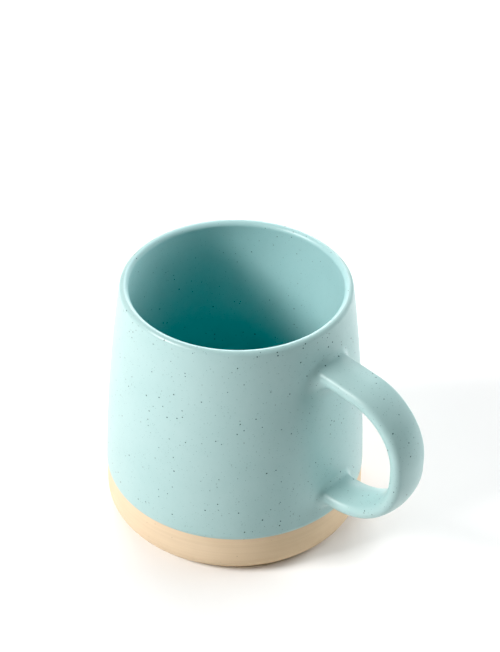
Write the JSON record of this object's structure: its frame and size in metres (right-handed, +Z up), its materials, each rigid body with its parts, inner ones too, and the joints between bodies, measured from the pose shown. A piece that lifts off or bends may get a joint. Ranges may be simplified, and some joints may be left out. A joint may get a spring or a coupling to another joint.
{
  "type": "ceramic mug",
  "caption": "Tapered stoneware mug with a thin rounded lip, a strap loop handle, a speckled glaze inside and out, and a bare clay band above its foot ring.",
  "frame": {"origin": "centre of the foot ring's resting face", "axes": "+Z up along the mug's axis, +X from the axis towards the handle"},
  "size_m": [0.1282, 0.0954, 0.0945],
  "materials": {
    "bare_clay": "unglazed stoneware, fine turning lines",
    "handle_clay": "unglazed stoneware under the glaze",
    "slip": "fired slip under the glaze",
    "outside_glaze": "satin glaze with small dark specks",
    "inside_glaze": "satin glaze with small dark specks",
    "handle_glaze": "satin glaze with small dark specks"
  },
  "bodies": {
    "root": {"clay_body": "bare_clay", "clay_handle": "handle_clay", "upper_slip_joint": "slip", "lower_slip_joint": "slip", "outside_glaze": "outside_glaze", "inside_glaze": "inside_glaze", "handle_glaze": "handle_glaze"}
  },
  "joints": []
}
